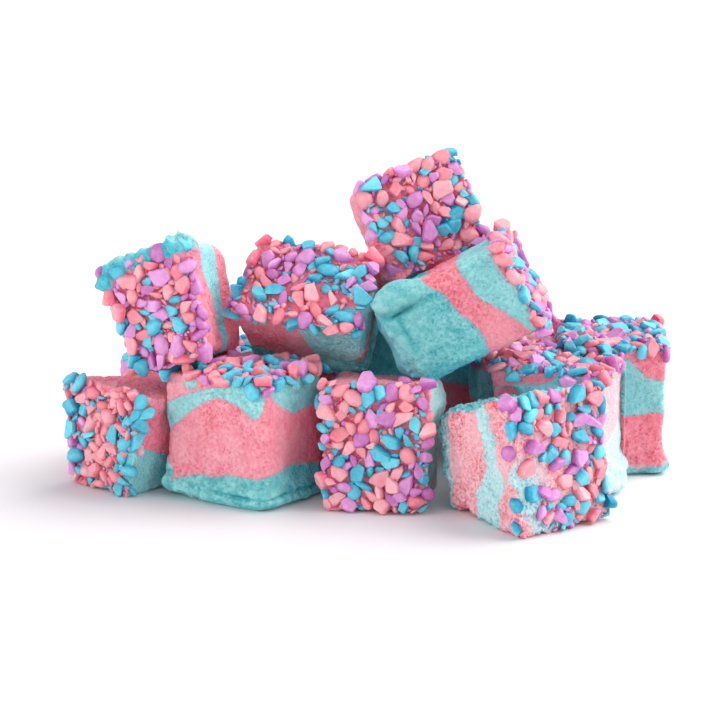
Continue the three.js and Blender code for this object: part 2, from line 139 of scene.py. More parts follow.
marshmallows = [
    dict(name="mallow_left", at=(-54.2, 9.8, 12.7), turn=(-45, 89, -2.5), size=(23.6, 25.4, 25),
         flare=0.04, keystone=0.2, mix=(0.55, 0.36, 0.09), coarse=1.4,
         bare=[(12, -3, 3), (12, -8, 2.5)],
         spots=[spot((12, -5, 12.5), (5, 6, 4))],
         edges=[[[0, -0.75], [2, -0.8], [4, -0.7], [6, -0.8]],
                [[7, -1.2], [7.3, -1.1], [7.5, -0.5], [7.8, 0.2], [8.1, 1], [1, 1.3], [5, 1.3], [6.5, 0.4]],
                [[0, 1.4], [4, 1.4]]]),
    dict(name="mallow_front_left", at=(-27.9, -0.8, 15.4), turn=(0, 0, -32), size=(30.1, 25.5, 32.3),
         flare=0.02, skirt=1.8, round=4.8, mix=(0.46, 0.38, 0.16), coverage=0.9, spread=1.2,
         coarse=1.1, footDepth=0.55, bubbly=1.0, lip=(1.0, -6.0),
         bare=[(-13, -13, 5), (-6, -13.5, 3.5)],
         spots=[spot((-7.5, -12.8, 14), (2.2, 3, 2.2)),
                spot((-15, -13, -9.5), (3.2, 3.2, 4), 0.7)],
         lumps=[lump((15.1, 3, -14), (3, 8, 3), 1.3, 0.4),
                lump((-14.5, -12.5, -8.6), (2.5, 2.5, 3), 1.1, 0.4),
                lump((-15, -12.5, 9.5), (3, 3, 4), 1.0, 0.4)],
         edges=[[[5, -0.68], [6, -0.5], [7, -0.42], [8, -0.42], [1, -0.46], [3, -0.6]],
                [[5, 0.0], [5.33, 0.23], [5.6, 0.48], [6, 0.66], [6.3, 0.62], [6.6, 0.46],
                 [6.85, 0.42], [7.02, 0.95], [7.3, 0.72], [7.6, 0.5], [8, 0.42], [8.5, 0.42], [1, 0.5],
                 [2, 0.2], [4, 0.1]],
                [[5, 0.5], [5.5, 0.68], [6, 0.84], [6.5, 1.1], [7, 1.4], [8, 1.4], [1, 1.3], [3, 0.7]]]),
    dict(name="mallow_front_middle", at=(5.2, -4.2, 14), turn=(-8, 83, 1), size=(25.2, 30.5, 26.5),
         flare=0.02, keystone=0.05, skirt=0.4, mix=(0.46, 0.26, 0.28), coverage=0.7, spread=0.6,
         paintedLight=0.9, paintedLightWay=(1, 0, 0), shadeBetweenChips=0.4, shadeFromCubes=0.2,
         edges=[[[0, -0.7], [2, -0.8], [4, -0.7], [6, -0.7]],
                [[0, -0.6], [1, -0.4], [1.3, 1.2], [3, 1.2], [4, 0.1], [6, 0.0], [7, -0.4]],
                [[0, 0.9], [0.8, 0.9], [1.1, 0.72], [4, 0.6], [6, 0.5], [7, 0.9]]],
         lumps=[lump((12.6, 9, -3), (5, 5.5, 9), 3.4),
                lump((-11, 14.8, -9), (4, 4, 5), 1.1)]),
    dict(name="mallow_front_right", at=(37.3, -18.6, 13.9), turn=(37, 82.5, 1), size=(25, 28.2, 32.5),
         flare=0.15, skirt=0.9, round=4.5, mix=(0.34, 0.38, 0.28), coverage=0.42, coarse=2.2,
         paintedLight=0.85, paintedLightWay=(-0.7, 0, 0.7), shadeBetweenChips=0, footDepth=0.12, shadeFromCubes=0.1,
         bare=[(-13, 4, 5), (-13, -4, 4), (-9, -9, 3.5), (-7, -1, 3), (-3, -4, 3), (3, 12, 3)],
         spots=[spot((-13.5, -1.5, 16), (5, 2.6, 4))],
         edges=[[[1.2, 0.92], [2.88, 0.92], [2.96, -0.72], [4, -0.68], [5, -0.72], [0, -0.8]],
                [[3.1, 0.05], [3.6, 0.12], [4, 0.16], [4.2, 0.1], [4.4, -0.12], [5, -0.17], [7, 0],
                 [1, 0.3]],
                [[3.1, 0.45], [3.6, 0.44], [4, 0.5], [4.25, 0.66], [4.5, 0.5], [5, 0.42], [7, 0.5],
                 [1, 0.35]]],
         lumps=[lump((-12.5, 14, 8), (3, 3, 9), 0.8, 1.2)]),
    dict(name="mallow_right", at=(48.5, 9.5, 15.1), turn=(0, 0, -16), size=(29, 27, 31.4),
         skirt=2, round=4.5, mix=(0.36, 0.3, 0.34), spread=1.2, paintedLight=0.9, paintedLightWay=(1, 0, 0),
         bare=[(-13, -15, 3.2), (-0.5, -15.5, 3.4), (4.5, -15.5, 3)],
         lumps=[lump((14.5, -4, -11), (4, 6, 4), 1.8, 0.8)],
         edges=[[[5, -0.6], [6.5, -0.5], [7, -0.3], [8, -0.05], [1, 0.0], [3, -0.6]],
                [[5, 0.6], [5.3, 0.7], [5.5, 0.45], [6, 0.4], [6.4, 0.75], [6.8, 0.8], [7, 1.2], [1, 1.2],
                 [3, 0.3]],
                [[5, 0.62], [5.5, 0.8], [6, 0.78], [6.4, 1.1], [7, 1.4], [1, 1.4], [3, 0.7]]]),
    dict(name="mallow_far_right", at=(63.4, 30.5, 16.1), turn=(0, 0, 0), size=(25.4, 31, 33),
         skirt=0.8, round=3.2, mix=(0.22, 0.46, 0.32), spread=1.2, lip=(0.7, -60.0), rich=0.3,
         edges=[[[0, -0.75], [2, -0.7], [4, -0.8], [6, -0.8], [7, -0.8]],
                [[0, 0.0], [2, 0.15], [4, 0.0], [6, -0.02], [7, -0.02]],
                [[0, 0.5], [2, 0.7], [4, 0.6], [6, 0.86], [6.3, 0.74], [6.6, 0.5], [7, 0.45]]]),
    dict(name="mallow_upper_left", at=(-44.5, 12.3, 43.4), turn=(-18, 80, 19), size=(21, 27, 28.5),
         flare=0.02, keystone=0.12, skirt=0.8, round=6, mix=(0.34, 0.17, 0.49), coverage=0.9,
         spread=1.4, paintedLight=0.3, paintedLightWay=(0, 1, 0),
         bare=[(-9, 13.5, 3.5), (-4, 14, 4), (2, 14.5, 4), (8, 15, 4.5), (12, 13, 3.5), (-11.5, 9.6, 2.5)],
         spots=[spot((0, 14.5, 12), (16, 4.2, 7), 0.8),
                spot((-11.6, 9.6, 13.5), (3, 3, 4), 1.0)],
         lumps=[lump((9.5, 14, 10), (4, 4, 5), 3.0, 0.3),
                lump((0, 13.5, 12), (7, 4, 4.5), 1.3, 0.4),
                lump((-8, 12.5, 13), (3, 3, 3), 0.6, 0.4),
                lump((-10.8, 9.4, 13.4), (2.2, 2.2, 2.4), 2.6),
                lump((11, 13.5, -3), (1.8, 1.8, 1.8), 1.8)],
         edges=[[[7, -0.8], [8, -0.74], [1, -0.66], [3, -0.8]],
                [[7, -0.15], [8, -0.32], [1, -0.42], [2, -0.42], [4, 0.0]],
                [[7, 0.1], [8, 0.12], [1, 0.45], [1.3, 1.3], [2.7, 1.3], [4, 0.6]]]),
    dict(name="mallow_upper_middle", at=(-11.2, 15, 42), turn=(-13, 45, -8), size=(30.4, 21.4, 24),
         flare=0.06, keystone=-0.06, mix=(0.42, 0.33, 0.25), coverage=0.42, shadeFromCubes=0.3,
         spots=[spot((8.9, -10.7, 8), (2.4, 2.5, 2.2)),
                spot((13, -8, 12), (5, 4, 3))],
         lumps=[lump((8.9, -10.7, 8), (2.2, 2.5, 2.0), 1.1, 0.5)],
         edges=[[[5, -0.25], [5.3, -0.45], [5.55, -0.6], [6, -0.75], [6.15, -0.4], [7, -0.36], [8, -0.36],
                 [2, -0.6], [4, -0.4]],
                [[5, 1.3], [5.95, 1.3], [6.12, -0.4], [6.85, -0.4], [7.05, -0.02], [8, -0.02], [2, 0.2],
                 [4, 0.9]],
                [[5, 1.4], [0, 1.4], [2, 0.8], [4, 1.3]]]),
    dict(name="mallow_upper_right", at=(23.5, 4.7, 43.8), turn=(86, 62, -3), size=(25, 24, 37),
         skirt=0.9, round=7.5, mix=(0.3, 0.34, 0.36), spread=1.4, footDepth=0.35, rich=0.3,
         lumps=[lump((-9.8, 10.8, -10.5), (4.2, 2.6, 6.5), 4.2),
                lump((-12.6, 7.6, -10.5), (3.2, 0.9, 6), -3.2),
                lump((-12.8, 4, -14.8), (3, 6, 1.1), 0.8),
                lump((-12.8, 3, -11.6), (3, 5, 0.8), -0.6)],
         edges=[[[2.5, -0.18], [3.13, -0.12], [3.4, 0.03], [3.94, 0.1], [4.42, 0.24], [4.85, 0.25],
                 [6, 0.06], [0, -0.1]],
                [[2, 0.29], [3, 0.38], [3.32, 0.38], [3.8, 0.39], [4.24, 0.61], [4.76, 0.75], [5.2, 0.84],
                 [7, 0.45]],
                [[2, 1.1], [2.9, 1.1], [3.05, 0.86], [3.64, 0.83], [4.34, 0.89], [4.6, 1.1], [0, 0.92]]]),
    dict(name="mallow_top", at=(14.3, 31.4, 60.9), turn=(8, 78, 20.5), size=(25.6, 27.4, 27),
         flare=0.02, round=4, mix=(0.42, 0.31, 0.27),
         spots=[spot((-14, -9, 9), (5, 13, 9), teal=False)],
         lumps=[lump((-13, -4, 9), (3.2, 6, 5), 3.2, 0.5),
                lump((-12.5, -12, 10), (3.2, 4, 5), 3.4, 0.5),
                lump((-13, -11, 1), (4, 5, 6), 3.0, 0.5)],
         edges=[[[0, -0.7], [2, -0.6], [2.9, -0.7], [3.2, -1.3], [5, -1.3], [5.3, -0.8], [6, -0.7]],
                [[0, 0.1], [2, 0.2], [3, 0.5], [4, 0.45], [5, 0.5], [6, 0.2]],
                [[0, 0.6], [2, 0.7], [3, 1.3], [5, 1.3], [6, 0.7]]]),
    dict(name="mallow_inner_left", at=(-18.5, 33.5, 13.8), turn=(0, 0, -6), size=(28, 26, 28.5),
         hidden=True),
    dict(name="mallow_inner_right", at=(39.7, 39.6, 13.8), turn=(0, 0, 2), size=(22.5, 25, 28.5),
         hidden=True),
    dict(name="mallow_back_left", at=(-46.5, 34, 12), turn=(0, 0, 6), size=(24, 24, 24.5), hidden=True),
    dict(name="mallow_inner_middle", at=(10, 38.5, 28.5), turn=(90, 45, 0), size=(26, 26, 26),
         skirt=0.4, hidden=True,
         edges=[[[0, 0.6], [4, 0.7]], [[0, 0.6], [4, 0.7]], [[0, 0.9], [4, 0.9]]]),
    dict(name="mallow_back_middle", at=(24, 66, 13.8), turn=(0, 0, -8), size=(26, 25.5, 28.5),
         hidden=True),
]


def seededDraw(seed):
    # A small generator of numbers between 0 and 1: add a constant, then mix by shifts and products.
    state = seed
    while True:
        state = (state + 0x6D2B79F5) & 0xFFFFFFFF
        mixed = ((state ^ (state >> 15)) * (1 | state)) & 0xFFFFFFFF
        mixed = ((mixed + (((mixed ^ (mixed >> 7)) * (61 | mixed)) & 0xFFFFFFFF)) & 0xFFFFFFFF) ^ mixed
        yield ((mixed ^ (mixed >> 14)) & 0xFFFFFFFF) / 4294967296


def smooth(low, high, value):
    # 0 below low, 1 above high, and 3t^2 - 2t^3 between them.
    share = np.clip((value - low) / (high - low), 0, 1)
    return share * share * (3 - 2 * share)


def along(pair, share):
    # From the first of the pair to the second, in a straight line.
    return pair[0] + (pair[1] - pair[0]) * share


# What each kind of chance starts from, so that none repeats another.
seeds = {"waver": 11, "smear": 31, "patches": 71, "detail": 100, "throw": 500, "drift": 700, "shape": 900}
latticeMix = (73856093, 19349663, 83492791, 2654435761, 1274126177)   # factors that mix a corner's place


def latticeNoise(points, cell, seed):
    # Random values from -1 to 1 at the corners of cubes of side cell, blended smoothly between.
    scaled = points / cell
    base = np.floor(scaled).astype(np.int64)
    part = scaled - base
    part = part * part * (3 - 2 * part)
    total = np.zeros(len(points))
    for corner in range(8):
        step = np.array([corner & 1, (corner >> 1) & 1, (corner >> 2) & 1])
        weight = np.prod(np.where(step == 1, part, 1 - part), axis=1)
        x, y, z = (base + step).T
        mixed = (x * latticeMix[0]) ^ (y * latticeMix[1]) ^ (z * latticeMix[2]) ^ (seed * latticeMix[3])
        mixed = (mixed ^ (mixed >> 13)) * latticeMix[4]
        mixed = (mixed ^ (mixed >> 16)) & 0xFFFF
        total += weight * (mixed / 32767.5 - 1)
    return total


def turnMatrix(turn):
    # Turned about Z by the spin, leaned about X, turned about Z by the yaw.
    yaw, lean, spin = (math.radians(angle) for angle in turn)
    matrix = Matrix.Rotation(yaw, 3, "Z") @ Matrix.Rotation(lean, 3, "X") @ Matrix.Rotation(spin, 3, "Z")
    return np.array(matrix)


for order, mallow in enumerate(marshmallows):
    for key, value in plainMarshmallow.items():
        mallow.setdefault(key, value)
    mallow["order"] = order
    mallow["shift"] = np.array(mallow["at"], dtype=float)
    mallow["half"] = np.array(mallow["size"], dtype=float) / 2
    mallow["matrix"] = turnMatrix(mallow["turn"])
    mallow["draw"] = seededDraw(order + 1)
    mallow["phases"] = [2 * math.pi * next(mallow["draw"]) for _ in range(6)]
    mallow["chips"] = []


def neighboursOf(mallow, among):
    # Those of the cubes among that are near enough to touch.
    near = cubeShape["near"]
    return [other for other in among
            if other is not mallow and np.linalg.norm(other["shift"] - mallow["shift"]) < near]


def toHeap(mallow, points):
    # A cube's own frame to the heap's.
    return points @ mallow["matrix"].T + mallow["shift"]


def toLocal(mallow, points):
    # The heap's frame to the cube's own.
    return (points - mallow["shift"]) @ mallow["matrix"]


def surfacePoint(mallow, unit):
    # The unit cube's points to a rounded box of the cube's size: the nearest inner point plus the
    # radius along the way out. Three products of slow waves take some off, flare and keystone
    # widen it, and a bell curve of the height pushes the skin's foot out.
    half = mallow["half"]
    depth = (1 - unit[:, 2:3]) / 2
    radius = cubeShape["cutEdge"] + (mallow["round"] - cubeShape["cutEdge"]) * depth * depth
    flat = unit * half
    inner = np.clip(flat, -(half - radius), half - radius)
    out = flat - inner
    out = out / np.linalg.norm(out, axis=1, keepdims=True)
    point = inner + radius * out
    x, y, z = point.T
    ripple, phase = cubeShape["ripple"], mallow["phases"]
    wave = [np.sin(ripple[i] * place + phase[i]) for i, place in enumerate((x, y, y, z, z, x))]
    products = wave[0] * wave[1] + wave[2] * wave[3] + wave[4] * wave[5]
    uneven = np.clip(products / cubeShape["rippleSum"], -1, 1)
    point = point - out * (cubeShape["wobble"] * (1 + uneven) / 2)[:, None]
    height = point[:, 2] / half[2]
    widening = 1 + mallow["flare"] * height
    point[:, 0] *= widening + mallow["keystone"] * point[:, 1] / half[1]
    point[:, 1] *= widening
    aboveSkin = point[:, 2] + half[2]
    fromSkirt = aboveSkin - cubeShape["skirtHeight"] * mallow["round"]
    foot = np.exp(-(fromSkirt / cubeShape["skirtReach"]) ** 2)
    point[:, :2] += out[:, :2] * (mallow["skirt"] * foot)[:, None]
    return point, out


def cubeGrid(steps):
    # The surface of a cube of lattice points 0..steps, six sides that share their edge points. The
    # points s from -1 to 1 move to s (1 + c - c s^2), which crowds them along the edges.
    row = steps + 1
    line = np.arange(row)
    first, second = np.meshgrid(line, line, indexing="ij")
    corners = []
    for axis in range(3):
        for side in (0, steps):
            lattice = np.empty(first.shape + (3,), dtype=np.int64)
            lattice[..., axis] = side
            lattice[..., (axis + 1) % 3] = first if side else second
            lattice[..., (axis + 2) % 3] = second if side else first
            code = (lattice[..., 0] * row + lattice[..., 1]) * row + lattice[..., 2]
            corners.append(np.stack([code[:-1, :-1], code[1:, :-1], code[1:, 1:], code[:-1, 1:]], axis=-1))
    codes = np.concatenate([quad.reshape(-1, 4) for quad in corners])
    used, quads = np.unique(codes, return_inverse=True)
    quads = quads.reshape(-1, 4)
    lattice = np.stack([used // row ** 2, used // row % row, used % row], axis=1)
    spread = 2 * lattice / steps - 1
    crowd = cubeShape["crowd"]
    return spread * (1 + crowd - crowd * spread * spread), quads


def placeRound(unit):
    # Where a point is round the cube, from 0 to 8, by which side face it lies over.
    x, y = unit[:, 0], unit[:, 1]
    safeX = np.where(np.abs(x) < 1e-6, 1e-6, x)
    safeY = np.where(np.abs(y) < 1e-6, 1e-6, y)
    onX = np.where(x > 0, y / safeX, 4 + y / safeX)
    onY = np.where(y > 0, 2 - x / safeY, 6 - x / safeY)
    return np.where(np.abs(x) >= np.abs(y), onX, onY) % 8


swirlShape = {
    "samples": 320, "meanOver": 7,        # steps round the cube, and how many a mean is taken over
    "waver": 0.9, "waverCell": 5.0,       # height and size of the colour edges' waver
    "smear": 2.4, "smearCell": 8.0,       # streaks of both colours on the coated face
    "smearPink": 1.1,                     # how much more of them is pink
    "coatedFrom": (0.985, 1.0),           # heights at which they start and are full
    "lowerDepth": (-0.5, 0.5),            # millimetres inside the lowest layer where it gets deep
    "spotDepth": (-0.5, 1.0),             # the same for a spot
}


def edgeHeight(pairs, place):
    # Straight lines between the given heights, then a running mean over a fifth of a face's half.
    points = sorted((pair[0] % 8, pair[1]) for pair in pairs)
    samples = np.linspace(0, 8, swirlShape["samples"], endpoint=False)
    heights = np.interp(samples, [p[0] for p in points], [p[1] for p in points], period=8)
    width = swirlShape["meanOver"]
    wrapped = np.concatenate([heights[-width:], heights, heights[:width]])
    heights = np.convolve(wrapped, np.ones(width) / width, mode="same")[width:-width]
    return np.interp(place, samples, heights, period=8)


def swirlOf(mallow, unit, point):
    # How far inside the teal a point is, in millimetres, below 0 inside the pink: the signed
    # distance in height to the nearest colour edge, the layers alternating from teal at the skin.
    # Then how deep the teal is, from 0 to 1: most in the lowest layer.
    half = mallow["half"][2]
    place = placeRound(unit)
    waver = latticeNoise(point, swirlShape["waverCell"], mallow["order"] + seeds["waver"])
    height = point[:, 2] + swirlShape["waver"] * waver
    first, second, third = (edgeHeight(pairs, place) * half for pairs in mallow["edges"])
    second = np.maximum(first, second)
    third = np.maximum(second, third)
    lower = first - height
    depth = smooth(*swirlShape["lowerDepth"], lower) * mallow["footDepth"]
    upper = np.minimum(height - second, third - height)
    swirl = np.maximum(lower, upper)
    onCoating = smooth(*swirlShape["coatedFrom"], unit[:, 2])
    streaks = latticeNoise(point, swirlShape["smearCell"], mallow["order"] + seeds["smear"])
    smear = swirlShape["smear"] * streaks - swirlShape["smearPink"]
    swirl = swirl * (1 - onCoating) + smear * onCoating
    for mark in mallow["spots"]:
        away = (point - mark["at"]) / mark["reach"]
        inside = (1 - np.linalg.norm(away, axis=1)) * min(mark["reach"])
        swirl = np.maximum(swirl, inside) if mark["teal"] else np.minimum(swirl, -inside)
        depth = np.maximum(depth, mark["depth"] * smooth(*swirlShape["spotDepth"], inside))
    return swirl, depth


# For the painted shade where other cubes close in.
neighbourShade = {"ball": 15.0, "weight": 0.9}   # a ball's radius in millimetres, and what it counts


def paintedShadeFromCubes(mallow, placed, out):
    # Painted shade where other cubes close in: how much of what a point looks at is other cubes, from 0
    # to 1. Each counts as a ball, by how far it lies along the way out and by its radius over its distance,
    # squared.
    total = np.zeros(len(placed))
    for other in neighboursOf(mallow, marshmallows):
        way = other["shift"] - placed
        distance = np.linalg.norm(way, axis=1)
        facing = np.maximum((way * out).sum(axis=1) / distance, 0)
        total += facing * np.minimum(neighbourShade["ball"] / distance, 1) ** 2
    return np.clip(total * neighbourShade["weight"], 0, 1)


surfaceDetail = {
    # Lengths are in millimetres. A From pair is where something starts and where it is full.
    "cells": (0.85, 1.8, 6.5),     # sizes of the fine, the middle and the broad unevenness
    "crumb": 0.2, "fine": 0.7,     # depth of the open crumb on the cut faces, and its fine share
    "uneven": 0.5,                 # depth of the slow dents of a knife cut
    "pits": 0.3, "pitCell": 1.2, "pitFrom": (0.35, 0.75), "pitFray": 0.4,   # burst bubbles
    "patchCell": 9.0, "patchSpread": 0.9, "patchSpan": (0.3, 1.9),   # rougher and smoother parts
    "skinFrom": (-0.8, -0.93),     # heights, as shares of the half height
    "cutFrom": (0.9, 0.99),        # where a side face ends, as shares of its half width
    "rimFrom": (0.93, 0.985),      # the same for the torn edges, then their two heights and widths
    "rimLow": (-0.93, 0.07), "rimHigh": (0.97, 0.05), "highShare": 0.6,
    "ragged": 0.8, "raggedMean": 0.4,            # how far torn edges stand out
    "wrinkle": 0.8, "foldCell": 5.5, "foldMean": 0.4,   # the folds in the moulded skin
    "foldStretch": (0.6, 0.6, 1.5),              # they are longer round the cube than up it
    "skinGrain": (0.05, 0.03),                   # the middle and the fine unevenness on the skin
    # Painted shade in the creases of the skin's folds and in the groove over the lip.
    "creaseFrom": (0.35, -0.6),
    "bubbles": 0.5, "bubbleCell": 2.6,           # over a bubbly foot
    "lipHeight": 2.1, "lipHalf": 1.8, "lipReach": 0.9,   # the lip's middle, half height and roundness
    "lipFrom": (0.86, 0.93), "lipStart": 5.0,    # and the length over which it starts
    "lipEdge": (1.2, 0.9), "lipSmooth": 0.85,    # in half heights, and how much it loses its folds
    "groove": 0.8, "grooveAt": 1.15, "grooveHalf": 0.24,   # the groove over it, in half heights
    # The next line ends with how strongly the groove is painted in shade.
    "grooveCell": 7.0, "grooveFrom": (-0.7, 0.3), "grooveShade": 1.4,   # it comes and goes
}


def roughPatches(mallow, point):
    # Slow noise around 1: patches of a rougher and a smoother cut.
    slow = latticeNoise(point, surfaceDetail["patchCell"], mallow["order"] + seeds["patches"])
    return np.clip(1 + surfaceDetail["patchSpread"] * slow, *surfaceDetail["patchSpan"])


def bell(value, middle, width):
    # 1 at the middle and 1/e a width away from it.
    return np.exp(-((value - middle) / width) ** 2)


def rolledLip(mallow, point, across, broad, seed):
    # Half a circle's profile round the foot with a groove over it that comes and goes. Gives how
    # far the lip stands out, how deep the groove is, and what lies inside the lip.
    look = surfaceDetail
    strength, start = mallow["lip"]
    begun = smooth(start, start + look["lipStart"], point[:, 0] + 2 * broad)
    around = strength * smooth(*look["lipFrom"], across) * begun
    inLip = (point[:, 2] + mallow["half"][2] - look["lipHeight"] - 0.5 * broad) / look["lipHalf"]
    roll = look["lipReach"] * around * np.sqrt(np.maximum(1 - inLip ** 2, 0))
    comesAndGoes = smooth(*look["grooveFrom"], latticeNoise(point, look["grooveCell"], seed))
    groove = around * bell(inLip, look["grooveAt"], look["grooveHalf"]) * comesAndGoes
    return roll, groove, around * smooth(*look["lipEdge"], np.abs(inLip))


def detailOf(mallow, unit, point, out, depth):
    # Added along the way out: two scales of crumb, burst bubbles and slow dents on the cut faces,
    # folds that run round the foot on the skin, bubbles in the deep teal, torn edges where a cut
    # meets skin or coating, the lip and the lumps. Gives that, the skin's share and the painted shade
    # in its creases, in the groove over the lip and in the dents.
    look = surfaceDetail
    seed = seeds["detail"] * (mallow["order"] + 1)
    across = np.maximum(np.abs(unit[:, 0]), np.abs(unit[:, 1]))
    onSide = smooth(*look["cutFrom"], across)
    skin = np.maximum(smooth(*look["skinFrom"], unit[:, 2]), 1 - onSide)
    skin = skin * (unit[:, 2] < 0.5)
    cut = (1 - skin) * onSide
    fine, middle, broad = (latticeNoise(point, cell, seed + 1 + i) for i, cell in enumerate(look["cells"]))
    rough = mallow["coarse"] * roughPatches(mallow, point)
    crumb = look["crumb"] * rough * (look["fine"] * fine + middle) + look["uneven"] * broad
    pits = latticeNoise(point, look["pitCell"], seed + 4) + look["pitFray"] * fine
    pits = smooth(*look["pitFrom"], pits)
    folds = 1 - np.abs(latticeNoise(point * np.array(look["foldStretch"]), look["foldCell"], seed + 5)) * 2
    wrinkle = look["wrinkle"] * (folds - look["foldMean"])
    wrinkle = wrinkle + look["skinGrain"][0] * middle + look["skinGrain"][1] * fine
    bubbles = look["bubbles"] * mallow["bubbly"] * depth * (1 - skin) * (
        middle + 0.6 * latticeNoise(point, look["bubbleCell"], seed + 6))
    roll, groove, inside = rolledLip(mallow, point, across, broad, seed + 7)
    wrinkle = wrinkle * (1 - look["lipSmooth"] * inside)
    onRim = smooth(*look["rimFrom"], across)
    rimLow, rimHigh = onRim * bell(unit[:, 2], *look["rimLow"]), onRim * bell(unit[:, 2], *look["rimHigh"])
    rim = look["ragged"] * (rimLow + look["highShare"] * rimHigh)
    torn = rim * (0.5 * fine + middle + look["raggedMean"])
    lift = cut * (crumb - look["pits"] * rough * pits) + skin * wrinkle
    lift = lift + (torn + bubbles) * (1 - inside) + roll - look["groove"] * groove
    for bump in mallow["lumps"]:
        away = np.linalg.norm((point - bump["at"]) / bump["reach"], axis=1)
        near = np.exp(-away ** 2)
        lift = lift + bump["height"] * near * (1 + bump["rough"] * (middle + 0.6 * fine))
        # A dent gets painted shade like the groove.
        if bump["height"] < 0:
            groove = np.maximum(groove, near)
    # Painted shade in the creases of the folds, and in the groove and dents.
    creaseShadeAndTone = skin * smooth(*look["creaseFrom"], folds + 0.4 * middle) * (1 - inside)
    return lift, np.maximum(skin, inside), np.maximum(creaseShadeAndTone, look["grooveShade"] * groove)


def pressedIn(mallow, points, earlier):
    # A point inside an earlier cube's rounded box goes out of it the shortest way, and none stays
    # below the floor.
    for other in neighboursOf(mallow, earlier):
        local = toLocal(other, points)
        rounding = cubeShape["pressedEdge"]
        half = other["half"] + cubeShape["gap"] - rounding
        past = np.abs(local) - half
        outside = np.maximum(past, 0)
        length = np.linalg.norm(outside, axis=1)
        distance = length + np.minimum(past.max(axis=1), 0) - rounding
        largest = np.eye(3)[past.argmax(axis=1)]
        way = np.where(length[:, None] > 1e-6, outside / np.maximum(length, 1e-6)[:, None], largest)
        way = way * np.where(local < 0, -1.0, 1.0)
        local = local + way * np.maximum(-distance, 0)[:, None]
        points = toHeap(other, local)
    points[:, 2] = np.maximum(points[:, 2], 0)
    return points


def addMesh(name, points, faces, smoothly=True):
    # points in the heap's frame and millimetres, smoothly one value for all faces or one for each.
    mesh = bpy.data.meshes.new(name)
    placed = (points - heapMiddle) * mm
    mesh.vertices.add(len(placed))
    mesh.vertices.foreach_set("co", placed.astype(np.float32).ravel())
    corners = faces.shape[1]
    mesh.loops.add(faces.size)
    mesh.loops.foreach_set("vertex_index", faces.astype(np.int32).ravel())
    mesh.polygons.add(len(faces))
    mesh.polygons.foreach_set("loop_start", np.arange(0, faces.size, corners, dtype=np.int32))
    mesh.polygons.foreach_set("use_smooth", np.full(len(faces), smoothly))
    mesh.update(calc_edges=True)
    mesh.validate()
    return addObject(name, mesh)


def addFloats(piece, name, values):
    # One number for each vertex, which the material reads by its name.
    layer = piece.data.attributes.new(name, "FLOAT", "POINT")
    layer.data.foreach_set("value", values.astype(np.float32))


def linear(red, green, blue):
    # Screen values from 0 to 255 to linear light.
    share = [value / 255 for value in (red, green, blue)]
    light = [c / 12.92 if c <= 0.04045 else ((c + 0.055) / 1.055) ** 2.4 for c in share]
    return (*light, 1.0)


class Nodes:
    # Short ways to add and join the nodes of one material.
    def __init__(self, name):
        self.material = bpy.data.materials.new(name)
        self.material.use_nodes = True
        self.tree = self.material.node_tree
        self.shader = self.tree.nodes["Principled BSDF"]

    def fill(self, node, values):
        # Sets a node's inputs, by name or number, or joins them to the output of another node.
        for key, value in values.items():
            if isinstance(value, bpy.types.NodeSocket):
                self.tree.links.new(value, node.inputs[key])
            else:
                node.inputs[key].default_value = value

    def add(self, kind, output, values, **settings):
        # A new node with these inputs and settings. Gives the output of that name or number.
        node = self.tree.nodes.new(kind)
        for key, value in settings.items():
            setattr(node, key, value)
        self.fill(node, values)
        return node.outputs[output]

    def places(self):
        return self.add("ShaderNodeTexCoord", "Object", {})

    def number(self, name):
        return self.add("ShaderNodeAttribute", "Fac", {}, attribute_name=name)

    def noise(self, pattern):
        # Noise with features of about cell millimetres, on object coordinates.
        return self.add("ShaderNodeTexNoise", "Fac", {
            "Vector": self.places(), "Scale": 1000 / pattern["cell"], "Detail": pattern["detail"]})

    def cells(self, pattern):
        # The distance to the nearest of points that lie about cell millimetres apart.
        return self.add("ShaderNodeTexVoronoi", "Distance", {
            "Vector": self.places(), "Scale": 1000 / pattern["cell"]})

    def math(self, operation, first, second, clamp=False):
        return self.add("ShaderNodeMath", 0, {0: first, 1: second}, operation=operation, use_clamp=clamp)

    def times(self, first, second):
        return self.math("MULTIPLY", first, second)

    def plus(self, first, second, clamp=False):
        return self.math("ADD", first, second, clamp)

    def minus(self, first, second, clamp=False):
        return self.math("SUBTRACT", first, second, clamp)

    def between(self, value, low, high, start=0.0, end=1.0):
        # Smoothly from start at low to end at high.
        return self.add("ShaderNodeMapRange", "Result", {
            "Value": value, "From Min": low, "From Max": high, "To Min": start, "To Max": end},
            interpolation_type="SMOOTHSTEP")

    def patches(self, pattern, start=0.0, end=1.0):
        # Noise made into patches with soft edges.
        return self.between(self.noise(pattern), *pattern["span"], start, end)

    def blend(self, factor, first, second):
        return self.add("ShaderNodeMix", 2, {0: factor, 6: first, 7: second}, data_type="RGBA")

    def bump(self, height, depth, **after):
        # Heights of 0 to 1 are as deep as depth in millimetres, on top of the normal in after.
        return self.add("ShaderNodeBump", "Normal", {
            "Strength": 1.0, "Distance": depth * mm, "Height": height, **after})

    def finish(self, look, values):
        # The given inputs, light that scatters under the surface, and how much it mirrors.
        self.fill(self.shader, {
            "Subsurface Weight": look["glow"], "Subsurface Radius": look["glowSpread"],
            "Subsurface Scale": look["glowReach"] * mm, "Specular IOR Level": look["specular"], **values})
        return self.material


